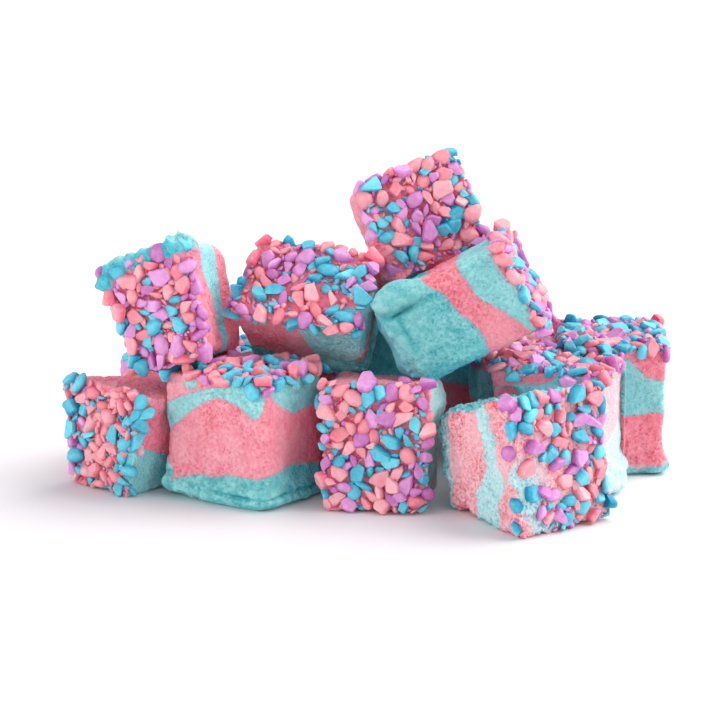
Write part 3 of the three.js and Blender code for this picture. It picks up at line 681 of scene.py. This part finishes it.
# A pattern has its size in millimetres, its detail, the values of noise that it runs between and
# how much deeper it makes the colours.
mallowLook = {
    "pink": linear(255, 176, 188), "pinkDeep": linear(224, 84, 106),
    "teal": linear(178, 232, 230), "tealDeep": linear(92, 188, 194),
    "skinTeal": linear(134, 222, 218), "skinDeep": linear(30, 148, 156),
    # Painted light, on the faces that look one given way.
    "paintedLightPink": linear(255, 206, 210), "paintedLightTeal": linear(214, 244, 246),
    "paintedShadePink": linear(255, 108, 144), "paintedShadeTeal": linear(60, 196, 222),   # painted shade where cubes close in and between chips
    "mixed": linear(186, 130, 160), "mixing": 1.1,    # where the two colours run into each other
    "edgeSoftness": 0.6,               # millimetres over which pink turns to teal
    "fray": {"cell": 1.1, "detail": 3.0, "reach": 1.3},
    "patches": {"cell": 4.5, "detail": 3.0, "span": (0.36, 0.7), "shade": 0.26},
    "blotches": {"cell": 2.4, "detail": 3.0, "span": (0.4, 0.62), "shade": 0.7},
    "crumb": {"cell": 0.9, "detail": 4.0, "span": (0.38, 0.62), "shade": 0.27},
    "pores": {"cell": 0.8, "span": (0.08, 0.45), "shade": 0.18, "depth": 0.22},
    "grain": {"cell": 0.6, "detail": 4.0, "depth": 0.5, "onSkin": 0.15},
    "creaseShade": 0.45,
    "lightLostInCrumb": 0.42,                 # how much of the painted light the crumb's hollows lose
    "roughness": 0.75, "skinRoughness": 0.48, "skinFrom": (0.2, 0.9), "specular": 0.2,
    "glow": 0.45, "glowSpread": (1.0, 0.6, 0.6), "glowReach": 2.6,
}


def mallowMaterial():
    # The swirl attribute, frayed by fine noise, decides pink or teal, and skin how deep and glossy
    # the teal is. Patches, crumb, pores, creases and blotches darken both by their shares' sum: the
    # patches, crumb and blotches at random, the pores and creases as painted shade in hollows.
    # Faces that look one given way get painted light, and painted shade turns the colour deep pink
    # or teal where cubes close in and between the chips. Pores and grain are bump.
    nodes = Nodes("marshmallow")
    look = mallowLook
    skin, depth = nodes.number("skin"), nodes.number("depth")
    frayed = nodes.times(nodes.minus(nodes.noise(look["fray"]), 0.5), look["fray"]["reach"])
    inTeal = nodes.plus(nodes.number("swirl"), frayed)
    factor = nodes.between(inTeal, -look["edgeSoftness"], look["edgeSoftness"])
    # Painted shade in the pores, the hollows that the bump below makes.
    pores = nodes.cells(look["pores"])
    inPores = nodes.between(pores, *look["pores"]["span"], 1.0, 0.0)
    shade = nodes.plus(nodes.times(nodes.patches(look["crumb"], 1.0, 0.0), look["crumb"]["shade"]),
                       nodes.times(inPores, look["pores"]["shade"]))
    shade = nodes.times(shade, nodes.number("coarse"))
    blotches = nodes.times(nodes.patches(look["blotches"]), depth)
    # Painted shade in the creases and the groove, and blotches at random.
    creaseShadeAndBlotches = nodes.plus(nodes.times(nodes.number("creaseShadeAndTone"), look["creaseShade"]),
                        nodes.times(blotches, look["blotches"]["shade"]))
    broad = nodes.plus(nodes.times(nodes.patches(look["patches"]), look["patches"]["shade"]), creaseShadeAndBlotches)
    deep = nodes.plus(broad, shade, True)
    pink = nodes.blend(deep, look["pink"], look["pinkDeep"])
    cutTeal = nodes.blend(deep, look["teal"], look["tealDeep"])
    skinTeal = nodes.blend(deep, look["skinTeal"], look["skinDeep"])
    teal = nodes.blend(depth, cutTeal, skinTeal)
    onEdge = nodes.times(nodes.times(factor, nodes.minus(1.0, factor)), look["mixing"])
    colour = nodes.blend(onEdge, nodes.blend(factor, pink, teal), look["mixed"])
    # Painted light on the faces that look one given way, less in the crumb's hollows.
    paintedLightShare = nodes.minus(nodes.number("paintedLight"), nodes.times(shade, look["lightLostInCrumb"]), True)
    colour = nodes.blend(paintedLightShare, colour, nodes.blend(factor, look["paintedLightPink"], look["paintedLightTeal"]))
    # Painted shade: deep pink or teal where cubes close in and between the chips.
    paintedShade = nodes.blend(factor, look["paintedShadePink"], look["paintedShadeTeal"])
    colour = nodes.blend(nodes.number("paintedShade"), colour, paintedShade)
    roughness = nodes.between(skin, *look["skinFrom"], look["roughness"], look["skinRoughness"])
    onSkin = look["grain"]["onSkin"]
    share = nodes.plus(nodes.times(nodes.minus(1.0, skin), 1 - onSkin), onSkin)
    grain = nodes.times(nodes.noise(look["grain"]), share)
    normal = nodes.bump(nodes.between(pores, 0.0, look["pores"]["span"][1]), look["pores"]["depth"])
    normal = nodes.bump(grain, look["grain"]["depth"], Normal=normal)
    return nodes.finish(look, {"Base Color": colour, "Roughness": roughness, "Normal": normal})


chipLook = {
    # The first colour of each is a chip's palest, the second the deep end that its own tone and the painted
    # shade towards its foot reach.
    "chip_pink": {"palest": linear(255, 190, 196), "deepest": linear(232, 98, 124)},
    "chip_blue": {"palest": linear(122, 226, 240), "deepest": linear(0, 142, 180)},
    "chip_purple": {"palest": linear(236, 174, 226), "deepest": linear(176, 78, 160)},
    "mottle": {"cell": 1.2, "detail": 3.0, "span": (0.35, 0.7), "shade": 0.2},
    "grain": {"cell": 0.5, "detail": 3.0, "depth": 0.12},
    "roughness": 0.34, "specular": 0.32,
    "glow": 0.35, "glowSpread": (1.0, 0.8, 0.8), "glowReach": 1.4,
}


def chipMaterial(kind):
    # Each chip has its own tone with painted shade deeper towards its foot, and a faint mottle. The coat is
    # satin.
    look = chipLook
    nodes = Nodes(kind)
    mottle = nodes.times(nodes.patches(look["mottle"]), look["mottle"]["shade"])
    toneAndFootShade = nodes.plus(nodes.number("toneAndFootShade"), mottle, True)
    colour = nodes.blend(toneAndFootShade, look[kind]["palest"], look[kind]["deepest"])
    normal = nodes.bump(nodes.noise(look["grain"]), look["grain"]["depth"])
    return nodes.finish(look, {"Base Color": colour, "Roughness": look["roughness"], "Normal": normal})


# What the cube's attributes go by: the painted light starts and is full at the first pair of shares of the
# way out that lie along the cube's lit way, and the painted shade between the coated face's chips at the
# heights of coatedFrom.
attributeLook = {"paintedLightFrom": (0.2, 0.9), "coatedFrom": (0.97, 1.0), "skinDepth": 0.6}


def addMarshmallow(mallow, material):
    # The rounded cube with its detail, pressed in by the cubes before it, and its attributes.
    look = attributeLook
    steps = cubeShape["hiddenSteps"] if mallow["hidden"] else cubeShape["shownSteps"]
    unit, quads = cubeGrid(steps)
    point, out = surfacePoint(mallow, unit)
    swirl, depth = swirlOf(mallow, unit, point)
    lift, skin, creaseShadeAndTone = detailOf(mallow, unit, point, out, depth)
    point = point + out * lift[:, None]
    placed = pressedIn(mallow, toHeap(mallow, point), marshmallows[:mallow["order"]])
    piece = addMesh(mallow["name"].replace("mallow_", "cube_"), placed, quads)
    # Painted light on the faces that look along the cube's given way.
    paintedLight = np.full(len(swirl), mallow["paintedLight"])
    if mallow["paintedLightWay"]:
        paintedLight *= smooth(*look["paintedLightFrom"], out @ np.array(mallow["paintedLightWay"]))
    # Painted shade where other cubes close in, and over the coated face between its chips.
    paintedShade = mallow["shadeFromCubes"] * paintedShadeFromCubes(mallow, placed, out @ mallow["matrix"].T)
    onCoating = smooth(*look["coatedFrom"], unit[:, 2])
    # The painted crease shade also carries the cube's even deeper tone.
    for name, values in (("swirl", swirl), ("skin", skin), ("creaseShadeAndTone", creaseShadeAndTone + mallow["rich"]),
                         ("depth", np.maximum(depth, look["skinDepth"] * mallow["footDepth"] * skin)),
                         ("coarse", mallow["coarse"] * roughPatches(mallow, point)),
                         ("paintedShade", np.maximum(paintedShade, mallow["shadeBetweenChips"] * onCoating)),
                         ("paintedLight", paintedLight)):
        addFloats(piece, name, values)
    piece.data.materials.append(material)
    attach(piece, "root")
    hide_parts(mallow["name"])


mallowFinish = mallowMaterial()
for mallow in marshmallows:
    addMarshmallow(mallow, mallowFinish)
print("marshmallow cubes made")

# The coating of broken candy chips: first the large ones that the solids have too.
coating = {
    "length": (6.2, 2.6),                   # of the first and the last chip, in millimetres
    "count": 110,                           # chips of a whole coating
    "overhang": 2.4,                        # how far it spreads past the face's edge
    "spacing": (0.52, 0.3),                 # their least distances, as shares of two lengths' sum
    "tries": 14,                            # places tried for each chip
    "width": (0.5, 0.85), "thickness": (0.34, 0.54),   # as shares of the length
    "taper": 0.28,                          # how far in a corner may lie
    "rise": 0.24,                           # height of the middle, as a share of the thickness
    "lean": 0.5,                            # greatest lean either way, in radians
}


def turnFrom(out):
    # The shortest turn that takes +Z to the way out.
    quaternion = Vector((0, 0, 1)).rotation_difference(Vector(out))
    return np.array(quaternion.to_matrix())


def tiltMatrix(lean, tip, spin):
    # Spun about Z, tipped about Y, leaned about X.
    tilt = Matrix.Rotation(lean, 3, "X") @ Matrix.Rotation(tip, 3, "Y") @ Matrix.Rotation(spin, 3, "Z")
    return np.array(tilt)


def chipAt(mallow, length, draw, on, out):
    # A small box with its corners drawn in by chance, laid along the face and leaned a little.
    width = length * along(coating["width"], next(draw))
    thickness = length * along(coating["thickness"], next(draw))
    spin = 2 * math.pi * next(draw)
    lean = coating["lean"] * (2 * next(draw) - 1)
    tip = coating["lean"] * (2 * next(draw) - 1)
    axes = turnFrom(out) @ tiltMatrix(lean, tip, spin)
    middle = on + out * (thickness * coating["rise"])
    corners = np.empty((8, 3))
    for i in range(8):
        sides = (1 if i & 1 else -1, 1 if i & 2 else -1, 1 if i & 4 else -1)
        for axis, full in enumerate((length, width, thickness)):
            corners[i, axis] = full / 2 * sides[axis] * (1 - coating["taper"] * next(draw))
    corners = corners @ axes.T + middle
    return {"on": on, "middle": middle, "length": length, "corners": corners, "axes": axes,
            "sizes": np.array([length, width, thickness]) / 2, "inHeap": toHeap(mallow, middle[None])[0]}


def chipFits(chip, mallow, neighbours):
    # Clear of the floor, of every other cube's plain box and of the other cubes' chips.
    points = toHeap(mallow, chip["corners"])
    if points[:, 2].min() < cubeShape["gap"]:
        return False
    for other in neighbours:
        outside = (np.abs(toLocal(other, points)) - other["half"]).max(axis=1)
        if outside.min() < cubeShape["gap"]:
            return False
        for far in other["chips"]:
            if math.dist(far["inHeap"], chip["inHeap"]) <= (far["length"] + chip["length"]) / 2:
                return False
    return True


def coatPlaces(mallow, flat):
    # The coated face under each (u, v), and down the side where that is past the face's edge.
    half = mallow["half"]
    past = np.maximum(np.maximum(np.abs(flat[:, 0]) - half[0], np.abs(flat[:, 1]) - half[1]), 0)
    unit = np.stack([np.clip(flat[:, 0] / half[0], -1, 1), np.clip(flat[:, 1] / half[1], -1, 1),
                     1 - past / half[2]], axis=1)
    return surfacePoint(mallow, unit)


def throwChips(mallow):
    # Largest first, each where it is far enough from those before it.
    draw = mallow["draw"]
    neighbours = neighboursOf(mallow, marshmallows)
    reach = mallow["half"] + coating["overhang"]
    for i in range(coating["count"]):
        share = math.sqrt(i / (coating["count"] - 1))
        length, spacing = along(coating["length"], share), along(coating["spacing"], share)
        for _ in range(coating["tries"]):
            u = reach[0] * (2 * next(draw) - 1)
            v = reach[1] * (2 * next(draw) - 1)
            on, out = (rows[0] for rows in coatPlaces(mallow, np.array([[u, v]])))
            if any(math.dist(chip["on"], on) <= spacing * (chip["length"] + length)
                   for chip in mallow["chips"]):
                continue
            chip = chipAt(mallow, length, draw, on, out)
            if chipFits(chip, mallow, neighbours):
                mallow["chips"].append(chip)
                break


# Shapes of broken chips, in a box of -1..1. Rings are the outline's share and height, foot first.
shardLook = {
    "cornerJitter": 0.85,         # how unevenly the five corners lie round a shard
    "cornerAway": (0.76, 1.1),    # how far out they lie
    "cornerCut": 0.13,            # how much of each side a broken corner takes
    "slant": 0.12,                # how far the foot lies aside of the top
    "wedge": 0.34,                # how much one side is higher than the other
    "rings": [(0.0, -1.0), (0.93, -1.0), (1.0, 0.5), (0.84, 1.0), (0.0, 1.02)],
}
petalLook = {
    "drawnIn": 0.5,               # how much narrower one end may be
    "swing": (0.96, 0.05, 0.04),  # the radius, and its chance waves of two and three turns
    "wedge": 0.15,
    "rings": [(0.0, -1.0), (0.8, -0.8), (1.0, -0.05), (0.76, 0.72), (0.0, 1.0)],
}


def shardShape(count, chance):
    # Five corners at chance angles and distances, each broken off a little, and the outline
    # stretched to fill the box. The foot is moved aside, the top leaned.
    look = shardLook
    uneven = look["cornerJitter"] * (chance.random((count, 5)) - 0.5)
    angle = (np.arange(5) + uneven) * 2 * math.pi / 5
    away = along(look["cornerAway"], chance.random((count, 5)))
    corner = np.stack([away * np.cos(angle), away * np.sin(angle)], axis=-1)
    before, after = np.roll(corner, 1, axis=1), np.roll(corner, -1, axis=1)
    cut = look["cornerCut"]
    outline = np.stack([corner + cut * (before - corner), corner + cut * (after - corner)], axis=2)
    outline = outline.reshape(count, 10, 2)
    outline = outline / np.abs(outline).max(axis=1, keepdims=True)
    aside = look["slant"] * (2 * chance.random((count, 1, 2)) - 1)
    lean = look["wedge"] * (2 * chance.random((count, 1, 2)) - 1)
    return ringedShape(outline, look["rings"], aside, lean)


def petalShape(count, chance):
    # A rounded chip: an oval that is drawn in towards one end, with slow chance waves of its
    # radius, and a domed top.
    look = petalLook
    turn = np.linspace(0, 2 * math.pi, 10, endpoint=False)
    phase = 2 * math.pi * chance.random((count, 2, 1))
    middle, slow, quick = look["swing"]
    swing = middle + slow * np.sin(2 * turn + phase[:, 0]) + quick * np.sin(3 * turn + phase[:, 1])
    drawnIn = 1 - look["drawnIn"] * chance.random((count, 1)) * np.cos(turn)
    outline = np.stack([swing * np.cos(turn), swing * drawnIn * np.sin(turn)], axis=-1)
    lean = look["wedge"] * (2 * chance.random((count, 1, 2)) - 1)
    return ringedShape(outline, look["rings"], np.zeros((count, 1, 2)), lean)


def ringedShape(outline, rings, aside, lean):
    # Each ring is the outline times its share, moved aside with its height, at a leaned height.
    # Triangles close both ends, and the squares between the rings are split in two.
    points = []
    for share, height in rings:
        around = outline * share if share else outline[:, :1] * 0
        flat = around + aside * height
        tall = height * (1 + (around * lean).sum(axis=2, keepdims=True))
        points.append(np.concatenate([flat, tall], axis=2))
    spokes = outline.shape[1]
    turn = np.arange(spokes)
    after = (turn + 1) % spokes
    faces = [np.stack([np.zeros(spokes, int), 1 + after, 1 + turn], axis=1)]
    for ring in range(len(rings) - 3):
        low, high = 1 + ring * spokes, 1 + (ring + 1) * spokes
        faces.append(np.stack([low + turn, low + after, high + after], axis=1))
        faces.append(np.stack([low + turn, high + after, high + turn], axis=1))
    last, top = 1 + (len(rings) - 3) * spokes, 1 + (len(rings) - 2) * spokes
    faces.append(np.stack([last + turn, last + after, np.full(spokes, top)], axis=1))
    return np.concatenate(points, axis=1), np.concatenate(faces)


# How the small bits are thrown over the coating. Lengths are in millimetres, and smaller says how
# much likelier the short ones are. spacing is a share of two bits' lengths, sticks the share of
# slim ones, and lean is in radians.
throwing = {
    "chips": {"count": 900, "length": (2.6, 6.2), "smaller": 1.4, "lift": 0.9, "spacing": 0.27,
              "lean": 0.62, "sticks": 0.25},
    "bits": {"count": 900, "length": (1.2, 2.6), "smaller": 1.0, "lift": 0.7, "spacing": 0.25,
             "lean": 0.9, "sticks": 0.3},
    "crumbs": {"count": 300, "length": (0.6, 1.2), "smaller": 1.2, "lift": 0.4, "spacing": 0.2,
               "lean": 1.2, "sticks": 0.0},
}
bitLook = {
    "hiddenShare": 0.5,           # how many of them a hidden cube gets
    "stick": 0.3, "plate": 0.52, "wider": 0.3,   # widths, and by how much more, as shares of the length
    "thickness": 0.28, "thicker": 0.2,
    "rise": 0.35,                 # how high its middle lies, as a share of half its thickness
    "room": 0.3,                  # clear space to the other cubes, as a share of the length
    "floorRoom": 0.4,             # millimetres more of it to the floor
    "rounded": 0.38,              # share of rounded chips
    "toneSpread": 0.5,            # how much deeper one chip may be than another
    "footShade": 0.65,             # painted shade: how much deeper a chip's foot is than its top
    "drift": 0.9, "driftCell": 8.0,   # how strong and how wide the slow drifts of one colour are
    "first": 20, "seated": 0.3,   # of the large chips all the first stay, and this share of the rest
}


def clearOfOthers(mallow, placed, room):
    # Which points are more than room above the floor and outside every other cube.
    clear = placed[:, 2] > room + bitLook["floorRoom"]
    for other in neighboursOf(mallow, marshmallows):
        clear &= (np.abs(toLocal(other, placed)) - other["half"]).max(axis=1) > room
    return clear


def randomTurns(chance, count, lean):
    # Leaned both ways by up to lean, then spun by any angle.
    first, second = lean * (2 * chance.random((2, count)) - 1)
    spins = 2 * math.pi * chance.random(count)
    return np.array([tiltMatrix(*angles) for angles in zip(first, second, spins)])


def scatterOver(mallow, chance, thrown):
    # Bits thrown over the coating between the large chips, the longest first, each kept where it
    # is clear of the bare places, of the other cubes and of the bits before it.
    look = bitLook
    count = int(thrown["count"] * mallow["coverage"] * (look["hiddenShare"] if mallow["hidden"] else 1))
    reach = mallow["half"][:2] + mallow["spread"]
    flat = (2 * chance.random((count, 2)) - 1) * reach
    on, out = coatPlaces(mallow, flat)
    length = np.sort(along(thrown["length"], chance.random(count) ** thrown["smaller"]))[::-1]
    width = np.where(chance.random(count) < thrown["sticks"], look["stick"], look["plate"])
    width = width + look["wider"] * chance.random(count)
    thickness = look["thickness"] + look["thicker"] * chance.random(count)
    sizes = length[:, None] / 2 * np.stack([np.ones(count), width, thickness], axis=1)
    lift = thrown["lift"] * chance.random(count) ** 2
    on = on + out * (sizes[:, 2] * look["rise"] + lift)[:, None]
    placed = toHeap(mallow, on)
    keep = clearOfOthers(mallow, placed, look["room"] * length)
    for u, v, radius in mallow["bare"]:
        keep &= np.hypot(flat[:, 0] - u, flat[:, 1] - v) > radius
    others = np.array([chip["middle"] for chip in mallow["chips"]])
    lengths = np.array([chip["length"] for chip in mallow["chips"]])
    kept = []
    for i in np.flatnonzero(keep):
        far = np.linalg.norm(others - on[i], axis=1) > thrown["spacing"] * (lengths + length[i])
        if far.all():
            kept.append(i)
            others = np.vstack([others, on[i]])
            lengths = np.append(lengths, length[i])
    kept = np.array(kept, dtype=int)
    mallow["chips"] += [{"middle": on[i], "length": length[i]} for i in kept]
    turns = np.array([turnFrom(way) for way in out[kept]]) @ randomTurns(chance, len(kept), thrown["lean"])
    return placed[kept], mallow["matrix"] @ turns, sizes[kept]


def sortedByKind(mallow, bits, chance, kinds):
    # Deals the bits out to the three colours by the cube's own mix, each colour a little likelier
    # in slow patches of its own: the largest of log share + drift + a chance Gumbel value wins.
    share = np.log(np.array(mallow["mix"]) / sum(mallow["mix"]))
    drifts = [latticeNoise(bits[0], bitLook["driftCell"], seeds["drift"] + kind) for kind in range(3)]
    liking = [share[kind] + bitLook["drift"] * drifts[kind] for kind in range(3)]
    luck = -np.log(-np.log(np.clip(chance.random((3, len(bits[0]))), 1e-9, 1 - 1e-9)))
    dealt = (np.array(liking) + luck).argmax(axis=0)
    for kind in range(3):
        kinds[kind].append([part[dealt == kind] for part in bits])


def addBits(name, material, bits, chance):
    # bits are (middles, turns, half sizes) in the heap's frame. Most are shards, some are rounded.
    middles, turns, sizes = (np.concatenate(part) for part in zip(*bits))
    rounded = chance.random(len(middles)) < bitLook["rounded"]
    points, faces, smoothly, tonesAndFootShade = [], [], [], []
    start = 0
    for chosen, shapeOf in ((~rounded, shardShape), (rounded, petalShape)):
        shape, corners = shapeOf(int(chosen.sum()), chance)
        placed = np.einsum("cij,cvj->cvi", turns[chosen], shape * sizes[chosen][:, None, :])
        points.append((placed + middles[chosen][:, None, :]).reshape(-1, 3))
        offsets = start + np.arange(len(shape))[:, None, None] * shape.shape[1]
        faces.append((corners[None] + offsets).reshape(-1, 3))
        smoothly.append(np.full(len(faces[-1]), shapeOf is petalShape))
        # Each chip's own tone, plus painted shade that deepens towards its foot.
        own = bitLook["toneSpread"] * chance.random(len(shape))[:, None]
        tonesAndFootShade.append((own + bitLook["footShade"] * (0.5 - 0.5 * shape[:, :, 2])).ravel())
        start += points[-1].shape[0]
    points = np.concatenate(points)
    points[:, 2] = np.maximum(points[:, 2], 0)
    piece = addMesh(name, points, np.concatenate(faces), np.concatenate(smoothly))
    addFloats(piece, "toneAndFootShade", np.concatenate(tonesAndFootShade))
    piece.data.materials.append(material)
    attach(piece, "root")
    print(name, len(middles), "bits,", sum(len(part) for part in faces), "triangles")


def addChips():
    # The bits of all cubes, dealt out by colour, and then one mesh of chips and one of crumbs for
    # each colour.
    chips, crumbs = [[], [], []], [[], [], []]
    for mallow in marshmallows:
        chance = np.random.default_rng(seeds["throw"] + mallow["order"])
        first, large = bitLook["first"], mallow["chips"]
        large = large[:int(first + bitLook["seated"] * mallow["coverage"] * (len(large) - first))]
        mallow["chips"] = large
        middles = np.array([chip["inHeap"] for chip in large])
        turns = np.array([mallow["matrix"] @ chip["axes"] for chip in large])
        sizes = np.array([chip["sizes"] for chip in large])
        sortedByKind(mallow, (middles, turns, sizes), chance, chips)
        for name, kinds in (("chips", chips), ("bits", chips), ("crumbs", crumbs)):
            sortedByKind(mallow, scatterOver(mallow, chance, throwing[name]), chance, kinds)
    for kind, colour in enumerate(("pink", "blue", "purple")):
        chance = np.random.default_rng(seeds["shape"] + kind)
        material = chipMaterial("chip_" + colour)
        addBits("chips_" + colour, material, chips[kind], chance)
        addBits("crumbs_" + colour, material, crumbs[kind], chance)


for mallow in marshmallows:
    throwChips(mallow)
addChips()
print("chips made")

# Floor, light and background.
studio = {
    "floorSize": 6.0,
    "floor": {"Base Color": (0.86, 0.86, 0.87, 1.0), "Roughness": 0.6, "Specular IOR Level": 0.1},
    "world": ((0.97, 0.94, 1.0, 1.0), 0.52),
    # suns: the way towards each, its angle across in degrees, its strength and colour
    "key": {"towards": (0.66, 0.3, 0.8), "across": 60, "strength": 2.9, "colour": (1.0, 0.98, 0.97)},
    "left": {"towards": (-0.92, -0.4, 0.14), "across": 60, "strength": 1.8, "colour": (1.0, 1.0, 1.0)},
    "right": {"towards": (0.92, -0.4, 0.16), "across": 60, "strength": 1.3, "colour": (1.0, 1.0, 1.0)},
    "front": {"towards": (0.1, -1.0, 0.1), "across": 60, "strength": 0.3, "colour": (1.0, 1.0, 1.0)},
}


def addFloor():
    # One square under the heap.
    corners = np.array([(-1, -1, 0), (1, -1, 0), (1, 1, 0), (-1, 1, 0)]) * studio["floorSize"] / 2
    floor = addMesh("floor", corners / mm + heapMiddle, np.array([[0, 1, 2, 3]]), False)
    nodes = Nodes("floor")
    nodes.fill(nodes.shader, studio["floor"])
    floor.data.materials.append(nodes.material)


def addSun(name, look):
    # A far light that stands towards the given way.
    data = bpy.data.lights.new(name, "SUN")
    data.angle = math.radians(look["across"])
    data.energy = look["strength"]
    data.color = look["colour"]
    light = addObject(name, data)
    light.rotation_euler = Vector(look["towards"]).to_track_quat("Z", "Y").to_euler()


def addWorld():
    # Even light from all round.
    world = bpy.data.worlds.new("studio")
    world.use_nodes = True
    background = world.node_tree.nodes["Background"]
    colour, strength = studio["world"]
    background.inputs["Color"].default_value = colour
    background.inputs["Strength"].default_value = strength
    bpy.context.scene.world = world
    bpy.context.scene.view_settings.view_transform = "Standard"


addFloor()
for light in ("key", "left", "right", "front"):
    addSun(light, studio[light])
addWorld()
print("studio made")
